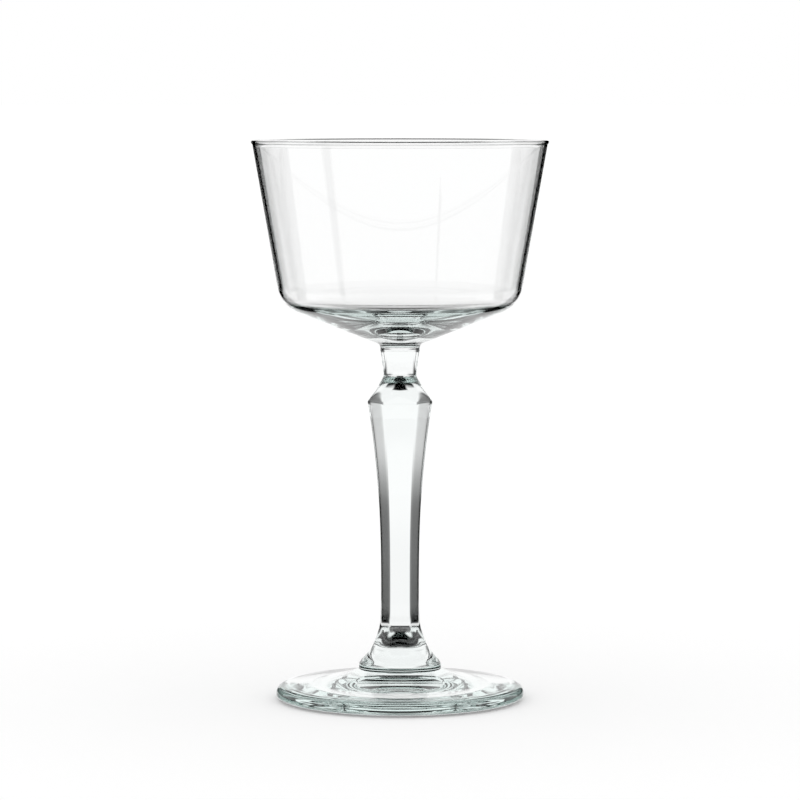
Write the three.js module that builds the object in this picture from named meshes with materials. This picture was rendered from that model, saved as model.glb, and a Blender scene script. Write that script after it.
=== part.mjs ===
// Stemmed cocktail glass: a flared bowl welded on a six-sided stem, which is welded on a round foot.
// Millimetres, +Z up. The origin is on the table, on the axis of the glass.
import * as THREE from 'three';

// Heights of the three pieces, stacked from the table up
const footHeight = 10.8;
const stemLength = 94.5;
const bowlHeight = 62.9;

// Bowl: rim and straight wall
const rimDiameter = 89;
const rimBeadDiameter = 1.2;
const rimBeadOverhang = 0.4;
const rimBeadStart = -30;
const rimBeadEnd = 200;
const rimWall = 0.9;

// Bowl: rounded corner, sloping underside and the boss that sits on the stem
const bowlCornerDiameter = 71.6;
const bowlCornerRadius = 10;
const bowlUndersideAngle = 21.8;
const bowlBossDiameter = 11.9;
const bowlBossLength = 1.75;
const bowlBossFillet = 1.5;

// Bowl: inside corner, and the floor, which slopes to a rounded middle
const cornerWall = 1.35;
const innerCornerRadius = 5;
const floorAngle = 12;
const floorThickness = 8;
const floorMiddleRadius = 60;

// Stem: diameters over the corners, and where they lie from its two ends
const stemTopDiameter = 11.8;
const neckDiameter = 9.8;
const neckDrop = 7.5;
const shoulderDiameter = 20.1;
const shoulderDrop = 15.4;
const waistDiameter = 11.7;
const waistRise = 23.2;
const flareRise = 20;
const stemBaseDiameter = 24.2;
const stemBaseLand = 0.6;

// Stem: bow of each stretch, as the power of its curve
const neckBow = 1.3;
const shoulderBow = 1.18;
const taperBow = 2.4;
const flareBow = 3.25;

// Stem: facets, which run out into the round neck above the shoulder and into the round flare below
const facetCount = 6;
const facetRunOutTop = 7.8;
const facetFadeRise = 10.5;
const facetRunOutRise = 1.5;
const facetRelief = 1.2;
const edgeSharpness = 40;

// Foot
const footDiameter = 74.8;
const footEdgeHeight = 1.6;
const footEdgeThickness = 4.6;
const footEdgeRound = 4.2;
const footRingDiameter = 59.6;
const footRingWidth = 3.4;
const footHollow = 1.6;
const footBossDiameter = 24.8;
const footBossLength = 1.5;
const footBossAngle = 29;
const footSlope = 7.6;

// Fineness of the surfaces
const roundSegments = 64;
const stemSegments = 48;
const filletSteps = 3;
const cornerSteps = 7;
const beadSteps = 7;
const floorSteps = 4;
const footSteps = 6;
const flareRings = 14;
const taperRings = 10;
const shoulderRings = 6;
const neckRings = 6;
const collarRings = 4;
const shoulderBand = 3;

const radians = THREE.MathUtils.degToRad;
const bowlSeat = footHeight + stemLength;

function turned(profile) {
  const geometry = new THREE.LatheGeometry(profile, roundSegments);
  geometry.rotateX(Math.PI / 2);
  return geometry;
}

function heading(degrees) {
  return new THREE.Vector2(Math.cos(radians(degrees)), Math.sin(radians(degrees)));
}

// Points of the arc that rounds a corner between two directions of travel.
function roundedCorner(corner, arriving, leaving, radius, steps) {
  const side = Math.sign(arriving.cross(leaving));
  const sweep = arriving.angleTo(leaving);
  const start = corner.clone().addScaledVector(arriving, -radius * Math.tan(sweep / 2));
  const inward = new THREE.Vector2(-arriving.y, arriving.x).multiplyScalar(side * radius);
  const centre = start.clone().add(inward);
  const from = inward.negate().angle();
  return new THREE.ArcCurve(centre.x, centre.y, radius, from, from + side * sweep, side < 0).getPoints(steps);
}

// Bowl: up the outside from the boss, round the rim bead and down the inside to the middle of the floor.
function bowlGeometry() {
  const bossRadius = bowlBossDiameter / 2;
  const bossTop = new THREE.Vector2(bossRadius, bowlSeat + bowlBossLength);
  const outward = heading(bowlUndersideAngle);
  const cornerRise = (bowlCornerDiameter / 2 - bossRadius) * Math.tan(radians(bowlUndersideAngle));
  const corner = new THREE.Vector2(bowlCornerDiameter / 2, bossTop.y + cornerRise);

  const beadRadius = rimBeadDiameter / 2;
  const beadCentre = new THREE.Vector2(rimDiameter / 2 - beadRadius, bowlSeat + bowlHeight - beadRadius);
  const bead = new THREE.ArcCurve(
    beadCentre.x, beadCentre.y, beadRadius, radians(rimBeadStart), radians(rimBeadEnd));
  const wallTop = new THREE.Vector2(rimDiameter / 2 - rimBeadOverhang, beadCentre.y - beadRadius);
  const upWall = wallTop.clone().sub(corner).normalize();

  // The straight floor meets the inner wall in the inside corner.
  const innerTop = new THREE.Vector2(wallTop.x - rimWall, wallTop.y);
  const innerFoot = new THREE.Vector2(corner.x - cornerWall, corner.y);
  const downWall = innerFoot.clone().sub(innerTop).normalize();
  const inward = heading(floorAngle).negate();
  const middle = new THREE.ArcCurve(
    0, bowlSeat + floorThickness + floorMiddleRadius, floorMiddleRadius,
    radians(floorAngle - 90), radians(-90), true);
  const wallDepth = middle.getPoint(0).sub(innerTop).cross(inward) / downWall.cross(inward);
  const innerCorner = innerTop.clone().addScaledVector(downWall, wallDepth);

  const profile = [
    new THREE.Vector2(0, bowlSeat),
    new THREE.Vector2(bossRadius, bowlSeat),
    ...roundedCorner(bossTop, heading(90), outward, bowlBossFillet, filletSteps),
    ...roundedCorner(corner, outward, upWall, bowlCornerRadius, cornerSteps),
    wallTop,
    ...bead.getPoints(beadSteps),
    innerTop,
    ...roundedCorner(innerCorner, downWall, inward, innerCornerRadius, cornerSteps),
    ...middle.getPoints(floorSteps),
  ];
  profile.at(-1).x = 0;
  return turned(profile);
}

// Outline of the turned stem before its facets: radius at a height above the stem's base.
function shaftRadius(rise) {
  const waist = waistDiameter / 2;
  const taper = Math.max(0, rise - waistRise) / (stemLength - shoulderDrop - waistRise);
  const flare = Math.max(0, flareRise - rise) / (flareRise - stemBaseLand);
  return waist
    + (shoulderDiameter / 2 - waist) * taper ** taperBow
    + (stemBaseDiameter / 2 - waist) * Math.min(1, flare) ** flareBow;
}

function neckRadius(rise) {
  const drop = stemLength - rise;
  const neck = neckDiameter / 2;
  const above = Math.max(0, neckDrop - drop) / neckDrop;
  const below = Math.max(0, drop - neckDrop) / (shoulderDrop - neckDrop);
  return neck
    + (stemTopDiameter / 2 - neck) * above ** neckBow
    + (shoulderDiameter / 2 - neck) * below ** shoulderBow;
}

// How far a facet's middle stands from the axis: a full flat on the shaft, running out at both ends.
function facetRadius(rise) {
  const blank = Math.min(shaftRadius(rise), neckRadius(rise));
  const flat = Math.cos(Math.PI / facetCount);
  const top = (rise - stemLength + shoulderDrop) / facetRunOutTop;
  const bottom = (facetFadeRise - rise) / (facetFadeRise - facetRunOutRise);
  const runOut = Math.max(0, top, bottom);
  return blank * (flat + (facetRelief - flat) * runOut);
}

// Radius of the finished stem: the shaft, the neck and the facets cut each other with softly rounded edges.
function stemRadius(rise, angle) {
  const cuts = [1 / shaftRadius(rise), 1 / neckRadius(rise)];
  for (let facet = 0; facet < facetCount; facet += 1) {
    const facing = Math.cos(angle - Math.PI / 2 - facet * 2 * Math.PI / facetCount);
    cuts.push(Math.max(0, facing) / facetRadius(rise));
  }
  return cuts.reduce((sum, cut) => sum + cut ** edgeSharpness, 0) ** (-1 / edgeSharpness);
}

// Heights of the stem's rings, closer together where its outline bends.
function stemRises() {
  const shoulder = stemLength - shoulderDrop;
  const stretches = [
    [0, stemBaseLand, 1],
    [stemBaseLand, flareRise, flareRings],
    [flareRise, shoulder - shoulderBand, taperRings],
    [shoulder - shoulderBand, shoulder + shoulderBand, shoulderRings],
    [shoulder + shoulderBand, stemLength - neckDrop, neckRings],
    [stemLength - neckDrop, stemLength, collarRings],
  ];
  const rises = [0];
  for (const [low, high, steps] of stretches) {
    for (let step = 1; step <= steps; step += 1) {
      rises.push(low + (high - low) * step / steps);
    }
  }
  return rises;
}

function stemGeometry() {
  const rises = stemRises();
  const positions = [];
  for (const rise of rises) {
    for (let step = 0; step < stemSegments; step += 1) {
      const angle = 2 * Math.PI * step / stemSegments;
      const radius = stemRadius(rise, angle);
      positions.push(radius * Math.cos(angle), radius * Math.sin(angle), footHeight + rise);
    }
  }
  const bottom = positions.length / 3;
  positions.push(0, 0, footHeight, 0, 0, bowlSeat);
  const top = bottom + 1;
  const lastRing = (rises.length - 1) * stemSegments;
  const triangles = [];
  for (let step = 0; step < stemSegments; step += 1) {
    const next = (step + 1) % stemSegments;
    triangles.push(bottom, next, step);
    triangles.push(top, lastRing + step, lastRing + next);
    for (let ring = 0; ring < lastRing; ring += stemSegments) {
      const above = ring + stemSegments;
      triangles.push(ring + step, ring + next, above + next);
      triangles.push(ring + step, above + next, above + step);
    }
  }
  const geometry = new THREE.BufferGeometry();
  geometry.setAttribute('position', new THREE.Float32BufferAttribute(positions, 3));
  geometry.setIndex(triangles);
  geometry.computeVertexNormals();
  return geometry;
}

// Foot: hollow underside, flat bearing ring, rounded edge, dished top and the boss that carries the stem.
function footGeometry() {
  const edgeRadius = footDiameter / 2;
  const ringOuter = footRingDiameter / 2;
  const ringInner = ringOuter - footRingWidth;
  const bossRadius = footBossDiameter / 2;
  const bossFoot = footHeight - footBossLength;
  const topEdge = edgeRadius - footEdgeRound;
  const span = (topEdge - bossRadius) / 3;
  const section = new THREE.Path();
  section.moveTo(0, footHollow);
  section.quadraticCurveTo(ringInner / 2, footHollow, ringInner, 0);
  section.lineTo(ringOuter, 0);
  section.quadraticCurveTo(edgeRadius, 0, edgeRadius, footEdgeHeight);
  section.quadraticCurveTo(edgeRadius, footEdgeThickness, topEdge, footEdgeThickness);
  section.bezierCurveTo(
    topEdge - span, footEdgeThickness + span * Math.tan(radians(footSlope)),
    bossRadius + span, bossFoot - span * Math.tan(radians(footBossAngle)),
    bossRadius, bossFoot);
  section.lineTo(bossRadius, footHeight);
  section.lineTo(0, footHeight);
  return turned(section.getPoints(footSteps));
}

function piece(name, geometry) {
  const glass = new THREE.MeshStandardMaterial({
    color: 0xdfeeea, roughness: 0.03, metalness: 0, transparent: true, opacity: 0.35,
  });
  const mesh = new THREE.Mesh(geometry, glass);
  mesh.name = name;
  return mesh;
}

const glass = new THREE.Group();
glass.add(piece('foot', footGeometry()));
glass.add(piece('stem', stemGeometry()));
glass.add(piece('bowl', bowlGeometry()));

export default glass;
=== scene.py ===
import math

import bmesh
import bpy
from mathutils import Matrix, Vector
from mathutils.geometry import interpolate_bezier


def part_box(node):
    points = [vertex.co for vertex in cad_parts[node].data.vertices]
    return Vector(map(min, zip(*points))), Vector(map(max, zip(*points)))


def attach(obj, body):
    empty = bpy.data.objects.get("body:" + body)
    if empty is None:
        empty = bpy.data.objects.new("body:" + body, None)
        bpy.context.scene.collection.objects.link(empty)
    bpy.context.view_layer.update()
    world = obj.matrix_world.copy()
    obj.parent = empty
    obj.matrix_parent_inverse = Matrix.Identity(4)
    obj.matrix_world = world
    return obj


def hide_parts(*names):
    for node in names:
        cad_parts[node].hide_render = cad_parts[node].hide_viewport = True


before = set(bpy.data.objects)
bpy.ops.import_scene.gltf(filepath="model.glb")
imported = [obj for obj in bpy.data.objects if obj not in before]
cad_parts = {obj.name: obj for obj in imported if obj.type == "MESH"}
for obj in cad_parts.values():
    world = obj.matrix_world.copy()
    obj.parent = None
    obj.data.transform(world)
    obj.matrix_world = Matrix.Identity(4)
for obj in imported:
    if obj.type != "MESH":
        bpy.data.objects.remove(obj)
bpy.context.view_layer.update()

MM = 0.001

# Heights and widths of the three pieces, in millimetres, from the frame
foot_box = [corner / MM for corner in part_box("foot")]
stem_box = [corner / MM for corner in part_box("stem")]
bowl_box = [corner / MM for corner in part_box("bowl")]
foot_height = foot_box[1].z
foot_diameter = foot_box[1].x - foot_box[0].x
stem_length = stem_box[1].z - stem_box[0].z
stem_base_diameter = stem_box[1].x - stem_box[0].x
bowl_seat = bowl_box[0].z
rim_height = bowl_box[1].z
rim_diameter = bowl_box[1].x - bowl_box[0].x

# Bowl, in millimetres and degrees
rim_bead_diameter = 1.2
rim_bead_overhang = 0.4
rim_bead_start = -30
rim_bead_end = 200
rim_wall = 0.9
bowl_corner_diameter = 71.6
bowl_corner_radius = 10
bowl_underside_angle = 21.8
bowl_boss_diameter = 11.9
bowl_boss_length = 1.75
bowl_boss_fillet = 1.5
corner_wall = 1.35
inner_corner_radius = 5
floor_angle = 12
floor_thickness = 8
floor_middle_radius = 60

# Stem, in millimetres; the bows are powers of its curves
stem_sizes = {
    "Top Diameter": 11.8,
    "Neck Diameter": 9.8,
    "Neck Drop": 7.5,
    "Shoulder Diameter": 20.1,
    "Shoulder Drop": 15.4,
    "Waist Diameter": 11.7,
    "Waist Rise": 23.2,
    "Flare Rise": 20.0,
    "Base Diameter": stem_base_diameter,
    "Base Land": 0.6,
    "Neck Bow": 1.3,
    "Shoulder Bow": 1.18,
    "Taper Bow": 2.4,
    "Flare Bow": 3.25,
    "Facet Count": 6.0,
    "Facet Run Out Top": 7.8,
    "Facet Fade Rise": 10.5,
    "Facet Run Out Rise": 1.5,
    "Facet Relief": 1.2,
    "Edge Sharpness": 40.0,
    "Length": stem_length,
    "Base Height": foot_height,
}

# Foot, in millimetres and degrees
foot_edge_height = 1.6
foot_edge_thickness = 4.6
foot_edge_round = 4.2
foot_ring_diameter = 59.6
foot_ring_width = 3.4
foot_hollow = 1.6
foot_boss_diameter = 24.8
foot_boss_length = 1.5
foot_boss_angle = 29
foot_slope = 7.6

# The welds show as a film between the pieces, in millimetres
weld_film = 0.02

# Fineness of the surfaces: steps round a piece and along an arc, and the longest straight step in millimetres
around_bowl = 320
around_foot = 480
around_stem = 360
stem_rings = 210
arc_steps = 24
longest_step = 1.0
no_step = 1e-6
sharp_from = math.radians(50)

# Glass, with the faint green that its depth takes on, by the metre
glass_refraction = 1.52
glass_depth_colour = (0.25, 0.75, 0.65, 1)
glass_depth_density = 3.5

# Grain of the fire-polished skin: the haze is finer than the ripples and lies in patches
ripple_scale = 1
ripple_detail = 1
haze_scale = 3
haze_detail = 4
haze_starts = 0.4
haze_full = 0.8

# Studio floor, in metres, with its paper and the glow that the camera sees on it
floor_reach = 60
floor_drop = 0.0001
floor_paper = (0.8, 0.8, 0.8, 1)
floor_glow = 0.22

# Dark cards that only the glass shows, painted shade for its dark outlines: turn from the right-hand side in
# degrees, and how far from the axis they end in millimetres
painted_shade_card_places = {"card_right": (45, 300), "card_left": (135, 300), "card_front": (225, 100)}
card_near = 70
card_height = 190

# Light that the glass shows, by the turn from straight behind it to either side and the lift, in degrees.
# A bright panel stands behind the glass and narrows towards its foot
panel_lift = -6
panel_half_width = 43.5
panel_foot_lift = -50
panel_foot_half_width = 12
panel_soft_inside = 9
panel_soft_outside = 6

# A grey strip crosses the panel on both sides of its middle
strip_lift = -7
strip_half_height = 4
strip_soft = 7
strip_starts = 14
strip_full = 30
strip_strength = 0.75

# Bright windows: turn, lift, half width, half height and brightness
windows = {
    "beside the glass": (90, 0, 9, 10, 1.0),
    "behind the camera": (180, 0, 38, 24, 0.7),
    "all round above": (180, 18, 180, 9, 1.0),
}
window_soft_turn = 6
window_soft_lift = 4

# A pale table lies below, with a far edge that is lower at the back than at the sides,
# and with corners that reach nearer to the glass
table_back_turn = 45
table_back_edge = -19
table_side_turn = 90
table_side_edge = -8
table_soft_below = 3
table_soft_above = 2
table_near_edge = -42
table_near_soft = 10
table_corners = (46, 135)
table_corner_half_width = 15
table_corner_soft = 6
table_corner_reach = 16

# A dark gap opens in the light low down straight behind the glass, and the light ends above
gap_half_width = 7
gap_soft_turn = 4
gap_top = -19
gap_soft_lift = 6
light_top = 18
light_top_soft = 8

# The walls of the glass mirror pale paper above and below a dark gap
paper_gap_lift = -3.5
paper_gap_half_height = 4.5
paper_gap_soft = 4
mirrored_half_height = 32
mirrored_soft = 10

# Camera, in metres, with its tilt below level in degrees and its lens in millimetres
camera_distance = 1.15
camera_height = 0.182
camera_tilt = 4.557
camera_lens = 172.95
camera_sensor = 36

# Bounces of light that thick glass needs
glass_bounces = 32
mirror_bounces = 16


class Number:
    """A number in a node tree: sums, products and powers of it add math nodes there."""

    def __init__(self, tree, socket):
        self.tree = tree
        self.socket = socket

    def math(self, operation, *others):
        node = self.tree.nodes.new("ShaderNodeMath")
        node.operation = operation
        for socket, value in zip(node.inputs, (self, *others)):
            feed(self.tree, socket, value)
        return Number(self.tree, node.outputs[0])

    def __add__(self, other):
        return self.math("ADD", other)

    def __sub__(self, other):
        return self.math("SUBTRACT", other)

    def __rsub__(self, other):
        return (self - other) * -1

    def __mul__(self, other):
        return self.math("MULTIPLY", other)

    def __truediv__(self, other):
        return self.math("DIVIDE", other)

    def __pow__(self, other):
        return self.math("POWER", other)

    def ramp(self, low, high, start=0.0, end=1.0, smooth=True):
        """start below low, end above high and a ramp between them."""
        node = self.tree.nodes.new("ShaderNodeMapRange")
        node.interpolation_type = "SMOOTHSTEP" if smooth else "LINEAR"
        for name, value in zip(
            ("Value", "From Min", "From Max", "To Min", "To Max"), (self, low, high, start, end)
        ):
            feed(self.tree, node.inputs[name], value)
        return Number(self.tree, node.outputs[0])

    def near(self, middle, half_width, soft):
        """1 up to half_width from the middle, and 0 from there on past a soft edge."""
        return (self - middle).math("ABSOLUTE").ramp(half_width, half_width + soft, 1, 0)


def feed(tree, socket, value):
    """Sets a socket to a plain value, or links it to a number of the tree."""
    if isinstance(value, Number):
        tree.links.new(value.socket, socket)
    else:
        socket.default_value = value


def parts_of(tree, vector):
    """The three parts of a vector socket, as numbers."""
    node = tree.nodes.new("ShaderNodeSeparateXYZ")
    tree.links.new(vector, node.inputs[0])
    return [Number(tree, part) for part in node.outputs]


def placed(name, data):
    """An object of the scene, at the origin."""
    made = bpy.data.objects.new(name, data)
    bpy.context.scene.collection.objects.link(made)
    return made


def heading(degrees):
    return Vector((math.cos(math.radians(degrees)), math.sin(math.radians(degrees))))


def direction(vector):
    return math.degrees(math.atan2(vector.y, vector.x))


def arc(centre, radius, start, end):
    """Points of an arc between two directions, in degrees."""
    return [
        centre + radius * heading(start + (end - start) * step / arc_steps) for step in range(arc_steps + 1)
    ]


def meeting(point, along, other_point, other_along):
    """Where two straight lines of a profile meet."""
    return point + along * (other_point - point).cross(other_along) / along.cross(other_along)


def rounded(corner, arriving, leaving, radius):
    """Points of the arc that rounds a corner of a profile, to the side that it turns to."""
    side = math.copysign(1, arriving.cross(leaving))
    start = corner - arriving * radius * math.tan(arriving.angle(leaving) / 2)
    centre = start + Vector((-arriving.y, arriving.x)) * radius * side
    return arc(centre, radius, direction(arriving) - 90 * side, direction(leaving) - 90 * side)


def quarter_bend(start, corner, end):
    """Points of a bend that leaves its start and reaches its end along the sides of a corner."""
    pull = 2 / 3
    return interpolate_bezier(start, start.lerp(corner, pull), end.lerp(corner, pull), end, arc_steps + 1)


def filled_in(profile):
    """The profile with points added on its long straight stretches, and doubled points left out."""
    points = [profile[0]]
    for end in profile[1:]:
        start = points[-1]
        steps = math.ceil((end - start).length / longest_step - no_step)
        points += [start.lerp(end, step / steps) for step in range(1, steps + 1)]
    return points


def bowl_profile():
    """Up the outside from the weld, round the rim bead and down the inside to the middle of the floor."""
    boss_radius = bowl_boss_diameter / 2
    weld = bowl_seat + weld_film / 2
    boss_top = Vector((boss_radius, bowl_seat + bowl_boss_length))
    outward = heading(bowl_underside_angle)
    corner_rise = (bowl_corner_diameter / 2 - boss_radius) * math.tan(math.radians(bowl_underside_angle))
    corner = Vector((bowl_corner_diameter / 2, boss_top.y + corner_rise))

    bead_radius = rim_bead_diameter / 2
    bead_centre = Vector((rim_diameter / 2 - bead_radius, rim_height - bead_radius))
    wall_top = Vector((rim_diameter / 2 - rim_bead_overhang, bead_centre.y - bead_radius))
    up_wall = (wall_top - corner).normalized()

    inner_top = Vector((wall_top.x - rim_wall, wall_top.y))
    inner_foot = Vector((corner.x - corner_wall, corner.y))
    down_wall = (inner_foot - inner_top).normalized()
    middle = Vector((0, bowl_seat + floor_thickness))
    middle_centre = middle + Vector((0, floor_middle_radius))
    middle_arc = arc(middle_centre, floor_middle_radius, floor_angle - 90, -90)
    inward = -heading(floor_angle)
    inner_corner = meeting(inner_top, down_wall, middle_arc[0], inward)

    return [
        Vector((0, weld)),
        Vector((boss_radius, weld)),
        *rounded(boss_top, heading(90), outward, bowl_boss_fillet),
        *rounded(corner, outward, up_wall, bowl_corner_radius),
        wall_top,
        *arc(bead_centre, bead_radius, rim_bead_start, rim_bead_end),
        inner_top,
        *rounded(inner_corner, down_wall, inward, inner_corner_radius),
        *middle_arc[:-1],
        middle,
    ]


def foot_profile():
    """Out under the hollow to the bearing ring, round the edge and in over the top to the boss."""
    edge_radius = foot_diameter / 2
    ring_outer = foot_ring_diameter / 2
    ring_inner = ring_outer - foot_ring_width
    boss_radius = foot_boss_diameter / 2
    weld = foot_height - weld_film / 2
    middle = Vector((0, foot_hollow))
    ring_start = Vector((ring_inner, 0))
    ring_end = Vector((ring_outer, 0))
    widest = Vector((edge_radius, foot_edge_height))
    top_edge = Vector((edge_radius - foot_edge_round, foot_edge_thickness))
    boss_foot = Vector((boss_radius, foot_height - foot_boss_length))

    # The dished top leaves the edge and reaches the boss along slopes a third as long as it is
    third = (top_edge.x - boss_radius) / 3
    inward = Vector((-third, third * math.tan(math.radians(foot_slope))))
    outward = Vector((third, -third * math.tan(math.radians(foot_boss_angle))))

    return [
        *quarter_bend(middle, Vector((ring_inner / 2, foot_hollow)), ring_start),
        *quarter_bend(ring_end, Vector((edge_radius, 0)), widest),
        *quarter_bend(widest, Vector((edge_radius, foot_edge_thickness)), top_edge),
        *interpolate_bezier(top_edge, top_edge + inward, boss_foot + outward, boss_foot, 2 * arc_steps),
        Vector((boss_radius, weld)),
        Vector((0, weld)),
    ]


def turned(name, profile, around):
    """A piece turned about the axis from a profile in millimetres that starts and ends on it."""
    shape = bmesh.new()
    points = filled_in(profile)
    rings = []
    for point in points[1:-1]:
        ring = []
        for step in range(around):
            spoke = heading(360 * step / around) * point.x * MM
            ring.append(shape.verts.new((spoke.x, spoke.y, point.y * MM)))
        rings.append(ring)
    first = shape.verts.new((0, 0, points[0].y * MM))
    last = shape.verts.new((0, 0, points[-1].y * MM))
    for step in range(around):
        following = (step + 1) % around
        shape.faces.new((first, rings[0][following], rings[0][step]))
        shape.faces.new((last, rings[-1][step], rings[-1][following]))
        for ring, next_ring in zip(rings, rings[1:]):
            shape.faces.new((ring[step], ring[following], next_ring[following], next_ring[step]))
    mesh = bpy.data.meshes.new(name)
    shape.to_mesh(mesh)
    shape.free()
    return mesh


def stem_radius(size, rise, turn):
    """Radius of the stem at a rise above its base and a turn from a ridge in radians, by the tree's sizes."""
    top = size["Length"] - size["Shoulder Drop"]
    waist = size["Waist Diameter"] / 2
    shoulder = size["Shoulder Diameter"] / 2
    taper = ((rise - size["Waist Rise"]) / (top - size["Waist Rise"])).math("MAXIMUM", 0)
    flare = (size["Flare Rise"] - rise) / (size["Flare Rise"] - size["Base Land"])
    flare = flare.ramp(0, 1, smooth=False)
    shaft = waist + (shoulder - waist) * taper ** size["Taper Bow"]
    shaft = shaft + (size["Base Diameter"] / 2 - waist) * flare ** size["Flare Bow"]

    drop = size["Length"] - rise
    neck = size["Neck Diameter"] / 2
    above = ((size["Neck Drop"] - drop) / size["Neck Drop"]).math("MAXIMUM", 0)
    below = (drop - size["Neck Drop"]) / (size["Shoulder Drop"] - size["Neck Drop"])
    below = below.math("MAXIMUM", 0)
    neck_outline = neck + (size["Top Diameter"] / 2 - neck) * above ** size["Neck Bow"]
    neck_outline = neck_outline + (shoulder - neck) * below ** size["Shoulder Bow"]

    # A facet's middle, as a share of the round blank, which runs out above the shoulder and in the flare
    blank = shaft.math("MINIMUM", neck_outline)
    half_facet = (size["Facet Count"] ** -1) * math.pi
    flat = half_facet.math("COSINE")
    fade_top = (rise - top) / size["Facet Run Out Top"]
    fade_bottom = (size["Facet Fade Rise"] - rise) / (size["Facet Fade Rise"] - size["Facet Run Out Rise"])
    run_out = fade_top.math("MAXIMUM", fade_bottom).math("MAXIMUM", 0)
    facet = flat + (size["Facet Relief"] - flat) * run_out

    # The shaft, the neck and the two nearest facets cut each other with softly rounded edges
    off_middle = (turn.math("FLOORED_MODULO", half_facet * 2) - half_facet).math("ABSOLUTE")
    sharpness = size["Edge Sharpness"]
    cuts = (blank / shaft) ** sharpness + (blank / neck_outline) ** sharpness
    cuts = cuts + (off_middle.math("COSINE") / facet) ** sharpness
    cuts = cuts + ((half_facet * 2 - off_middle).math("COSINE") / facet) ** sharpness
    return blank * cuts ** (sharpness ** -1 * -1)


def stem_tree():
    """Node tree that shapes a plain rod into the six-sided stem."""
    tree = bpy.data.node_groups.new("Faceted Stem", "GeometryNodeTree")
    tree.interface.new_socket("Geometry", in_out="OUTPUT", socket_type="NodeSocketGeometry")
    for name in (*stem_sizes, "Weld Film"):
        tree.interface.new_socket(name, in_out="INPUT", socket_type="NodeSocketFloat")
    for name in ("Around", "Rings"):
        tree.interface.new_socket(name, in_out="INPUT", socket_type="NodeSocketInt")
    tree.interface.new_socket("Glass", in_out="INPUT", socket_type="NodeSocketMaterial")
    given = tree.nodes.new("NodeGroupInput").outputs
    size = {name: Number(tree, given[name]) for name in (*stem_sizes, "Weld Film")}

    rod = tree.nodes.new("GeometryNodeMeshCylinder")
    rod.fill_type = "TRIANGLE_FAN"
    tree.links.new(given["Around"], rod.inputs["Vertices"])
    tree.links.new(given["Rings"], rod.inputs["Side Segments"])
    rod.inputs["Radius"].default_value = 1
    rod.inputs["Depth"].default_value = 1

    position = tree.nodes.new("GeometryNodeInputPosition")
    across, deep, along = parts_of(tree, position.outputs[0])
    share = along + 0.5
    radius = stem_radius(size, share * size["Length"], deep.math("ARCTAN2", across))
    base = size["Base Height"] + size["Weld Film"] / 2
    height = base + share * (size["Length"] - size["Weld Film"])
    place = tree.nodes.new("ShaderNodeCombineXYZ")
    for socket, value in zip(place.inputs, (across * radius, deep * radius, height)):
        feed(tree, socket, value * MM)

    shaped = tree.nodes.new("GeometryNodeSetPosition")
    realized = tree.nodes.new("GeometryNodeRealizeInstances")
    dressed = tree.nodes.new("GeometryNodeSetMaterial")
    result = tree.nodes.new("NodeGroupOutput")
    tree.links.new(place.outputs[0], shaped.inputs["Position"])
    tree.links.new(given["Glass"], dressed.inputs["Material"])
    tree.links.new(rod.outputs["Mesh"], shaped.inputs["Geometry"])
    tree.links.new(shaped.outputs["Geometry"], realized.inputs["Geometry"])
    tree.links.new(realized.outputs["Geometry"], dressed.inputs["Geometry"])
    tree.links.new(dressed.outputs["Geometry"], result.inputs["Geometry"])
    return tree


def faceted_stem(name, glass):
    """The stem's mesh, made by its node tree."""
    tree = stem_tree()
    holder = placed("stem_rod", bpy.data.meshes.new("stem_rod"))
    modifier = holder.modifiers.new("Faceted Stem", "NODES")
    modifier.node_group = tree
    values = {
        **stem_sizes,
        "Weld Film": weld_film,
        "Around": around_stem,
        "Rings": stem_rings,
        "Glass": glass,
    }
    for item in tree.interface.items_tree:
        if item.in_out == "INPUT":
            modifier[item.identifier] = values[item.name]
    graph = bpy.context.evaluated_depsgraph_get()
    mesh = bpy.data.meshes.new_from_object(holder.evaluated_get(graph))
    mesh.name = name
    bpy.data.objects.remove(holder)
    return mesh


def piece(name, mesh, glass, node):
    """A finished piece of the glass, which stands for a node of the frame."""
    mesh.materials.clear()
    mesh.materials.append(glass)
    mesh.shade_smooth()
    mesh.set_sharp_from_angle(angle=sharp_from)
    made = placed(name, mesh)
    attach(made, "root")
    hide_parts(node)


def bare_material(name):
    """A material with an empty node tree."""
    material = bpy.data.materials.new(name)
    material.use_nodes = True
    material.node_tree.nodes.clear()
    return material


def skin_group():
    """Shader group of the fire-polished skin: its slow ripples and its faint haze."""
    tree = bpy.data.node_groups.new("Fire Polished Skin", "ShaderNodeTree")
    for name in ("Ripple Size", "Draw", "Haze"):
        tree.interface.new_socket(name, in_out="INPUT", socket_type="NodeSocketFloat")
    for name in ("Height", "Roughness"):
        tree.interface.new_socket(name, in_out="OUTPUT", socket_type="NodeSocketFloat")
    given = tree.nodes.new("NodeGroupInput").outputs
    size, draw, haze = (Number(tree, given[name]) for name in ("Ripple Size", "Draw", "Haze"))
    x, y, z = parts_of(tree, tree.nodes.new("ShaderNodeTexCoord").outputs["Object"])
    stretched = tree.nodes.new("ShaderNodeCombineXYZ")
    for socket, value in zip(stretched.inputs, (x / size, y / size, z / (size * draw))):
        feed(tree, socket, value)

    grains = []
    for scale, detail in ((ripple_scale, ripple_detail), (haze_scale, haze_detail)):
        grain = tree.nodes.new("ShaderNodeTexNoise")
        grain.inputs["Scale"].default_value = scale
        grain.inputs["Detail"].default_value = detail
        tree.links.new(stretched.outputs[0], grain.inputs["Vector"])
        grains.append(Number(tree, grain.outputs[0]))
    ripples, bloom = grains
    result = tree.nodes.new("NodeGroupOutput")
    feed(tree, result.inputs["Height"], ripples)
    feed(tree, result.inputs["Roughness"], bloom.ramp(haze_starts, haze_full) * haze)
    return tree


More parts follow.
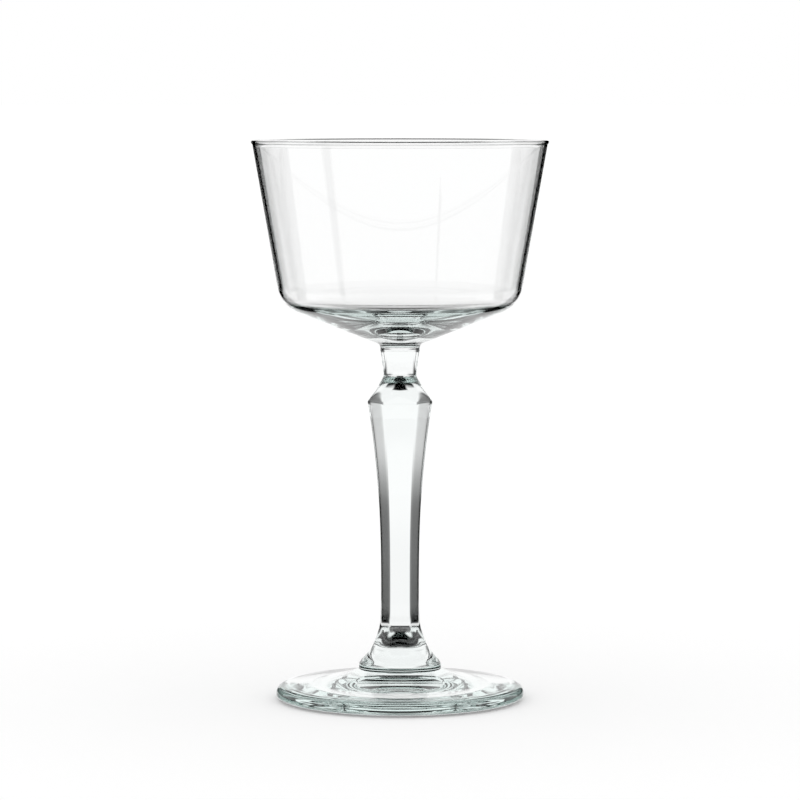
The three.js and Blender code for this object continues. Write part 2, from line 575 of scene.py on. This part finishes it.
def clear_glass(name, skin, ripple_size, draw, ripple_height, haze):
    """Clear glass that is faintly green in its depth, with the skin that its piece has, in millimetres."""
    material = bare_material(name)
    tree = material.node_tree
    surface = tree.nodes.new("ShaderNodeBsdfPrincipled")
    surface.inputs["Base Color"].default_value = (1, 1, 1, 1)
    surface.inputs["Transmission Weight"].default_value = 1
    surface.inputs["IOR"].default_value = glass_refraction
    finish = tree.nodes.new("ShaderNodeGroup")
    finish.node_tree = skin
    finish.inputs["Ripple Size"].default_value = ripple_size * MM
    finish.inputs["Draw"].default_value = draw
    finish.inputs["Haze"].default_value = haze
    bump = tree.nodes.new("ShaderNodeBump")
    bump.inputs["Strength"].default_value = 1
    bump.inputs["Distance"].default_value = ripple_height * MM
    depth = tree.nodes.new("ShaderNodeVolumeAbsorption")
    depth.inputs["Color"].default_value = glass_depth_colour
    depth.inputs["Density"].default_value = glass_depth_density
    result = tree.nodes.new("ShaderNodeOutputMaterial")
    tree.links.new(finish.outputs["Roughness"], surface.inputs["Roughness"])
    tree.links.new(finish.outputs["Height"], bump.inputs["Height"])
    tree.links.new(bump.outputs["Normal"], surface.inputs["Normal"])
    tree.links.new(surface.outputs["BSDF"], result.inputs["Surface"])
    tree.links.new(depth.outputs["Volume"], result.inputs["Volume"])
    return material


def stage_sheet(name, corners, material):
    """A flat sheet of the studio."""
    mesh = bpy.data.meshes.new(name)
    mesh.from_pydata(corners, [], [range(len(corners))])
    mesh.materials.append(material)
    made = placed(name, mesh)
    return made


def studio_floor():
    """Pale floor that reaches the horizon; the glass shows the studio's own low light in its place."""
    material = bare_material("pale_floor")
    tree = material.node_tree
    paper = tree.nodes.new("ShaderNodeBsdfDiffuse")
    paper.inputs["Color"].default_value = floor_paper
    glow = tree.nodes.new("ShaderNodeEmission")
    seen = Number(tree, tree.nodes.new("ShaderNodeLightPath").outputs["Is Camera Ray"])
    feed(tree, glow.inputs["Strength"], seen * floor_glow)
    both = tree.nodes.new("ShaderNodeAddShader")
    result = tree.nodes.new("ShaderNodeOutputMaterial")
    tree.links.new(paper.outputs[0], both.inputs[0])
    tree.links.new(glow.outputs[0], both.inputs[1])
    tree.links.new(both.outputs[0], result.inputs["Surface"])

    sides = ((-1, -1), (1, -1), (1, 1), (-1, 1))
    corners = [(x * floor_reach, y * floor_reach, -floor_drop) for x, y in sides]
    floor = stage_sheet("studio_floor", corners, material)
    floor.visible_transmission = False
    floor.visible_glossy = False


def painted_shade_cards():
    """Dark cards on three diagonals, seen only in the glass: painted shade that draws the glass's dark
    outlines.
    """
    material = bare_material("painted_shade_card")
    tree = material.node_tree
    black = tree.nodes.new("ShaderNodeBsdfDiffuse")
    # Black that the glass shows as painted shade
    black.inputs["Color"].default_value = (0, 0, 0, 1)
    result = tree.nodes.new("ShaderNodeOutputMaterial")
    tree.links.new(black.outputs[0], result.inputs["Surface"])
    top = card_height * MM
    for name, (turn, card_far) in painted_shade_card_places.items():
        near = heading(turn) * card_near * MM
        far = heading(turn) * card_far * MM
        card = stage_sheet(name, [(*near, 0), (*far, 0), (*far, top), (*near, top)], material)
        # Painted shade: hidden from the camera, from the floor's light and from shadows, the cards show only
        # in the glass
        card.visible_camera = False
        card.visible_diffuse = False
        card.visible_shadow = False


def studio_light():
    """White all round for the camera and the floor; in the glass, a panel, windows and a table."""
    world = bpy.data.worlds.new("studio")
    bpy.context.scene.world = world
    world.use_nodes = True
    tree = world.node_tree
    tree.nodes.clear()
    x, y, z = parts_of(tree, tree.nodes.new("ShaderNodeTexCoord").outputs["Generated"])
    turn = x.math("ABSOLUTE").math("ARCTAN2", y).math("DEGREES")
    lift = z.math("ARCSINE").math("DEGREES")

    # The panel, with its grey strip, and the windows
    half_width = lift.ramp(panel_foot_lift, panel_lift, panel_foot_half_width, panel_half_width, smooth=False)
    strip = lift.near(strip_lift, strip_half_height, strip_soft) * turn.ramp(strip_starts, strip_full)
    panel = turn.ramp(half_width - panel_soft_inside, half_width + panel_soft_outside, 1, 0)
    panel = panel * (1 - strip * strip_strength)
    light = panel
    for window_turn, window_lift, half_turn, half_lift, brightness in windows.values():
        beside = turn.near(window_turn, half_turn, window_soft_turn)
        level = lift.near(window_lift, half_lift, window_soft_lift)
        light = light.math("MAXIMUM", beside * level * brightness)

    # The table, the gap in it, and where the light ends above and below
    far_edge = turn.ramp(table_back_turn, table_side_turn, table_back_edge, table_side_edge, smooth=False)
    table = lift.ramp(far_edge - table_soft_below, far_edge + table_soft_above, 1, 0)
    over_gap = lift.ramp(gap_top - gap_soft_lift, gap_top)
    beside_gap = turn.ramp(gap_half_width, gap_half_width + gap_soft_turn)
    light = light.math("MAXIMUM", table) * over_gap.math("MAXIMUM", beside_gap)
    right, left = (turn.near(corner, table_corner_half_width, table_corner_soft) for corner in table_corners)
    near_edge = table_near_edge - (right + left) * table_corner_reach
    light = light * lift.ramp(near_edge, near_edge + table_near_soft)
    light = light * lift.ramp(light_top, light_top + light_top_soft, 1, 0)

    # What its walls mirror
    paper = 1 - lift.near(paper_gap_lift, paper_gap_half_height, paper_gap_soft)
    mirrored = panel.math("MAXIMUM", paper) * lift.near(0, mirrored_half_height, mirrored_soft)

    path = tree.nodes.new("ShaderNodeLightPath")
    through = Number(tree, path.outputs["Is Transmission Ray"])
    off = Number(tree, path.outputs["Is Glossy Ray"]) * (1 - through)
    sky = tree.nodes.new("ShaderNodeBackground")
    sky.inputs["Color"].default_value = (1, 1, 1, 1)
    feed(tree, sky.inputs["Strength"], through * (light - 1) + off * (mirrored - 1) + 1)
    result = tree.nodes.new("ShaderNodeOutputWorld")
    tree.links.new(sky.outputs[0], result.inputs["Surface"])


def photo_camera():
    lens = bpy.data.cameras.new("camera")
    lens.sensor_width = camera_sensor
    lens.lens = camera_lens
    camera = placed("camera", lens)
    camera.location = (0, -camera_distance, camera_height)
    camera.rotation_euler = (math.radians(90 - camera_tilt), 0, 0)
    bpy.context.scene.camera = camera


skin = skin_group()
bowl_glass = clear_glass("bowl_glass", skin, ripple_size=18, draw=3, ripple_height=0.004, haze=0.01)
stem_glass = clear_glass("stem_glass", skin, ripple_size=6, draw=4, ripple_height=0.003, haze=0.01)
foot_glass = clear_glass("foot_glass", skin, ripple_size=9, draw=1, ripple_height=0.006, haze=0.01)
piece("glass_bowl", turned("glass_bowl", bowl_profile(), around_bowl), bowl_glass, "bowl")
piece("glass_stem", faceted_stem("glass_stem", stem_glass), stem_glass, "stem")
piece("glass_foot", turned("glass_foot", foot_profile(), around_foot), foot_glass, "foot")

studio_floor()
painted_shade_cards()
studio_light()
photo_camera()
scene = bpy.context.scene
scene.view_settings.view_transform = "Standard"
scene.cycles.max_bounces = glass_bounces
scene.cycles.transmission_bounces = glass_bounces
scene.cycles.glossy_bounces = mirror_bounces
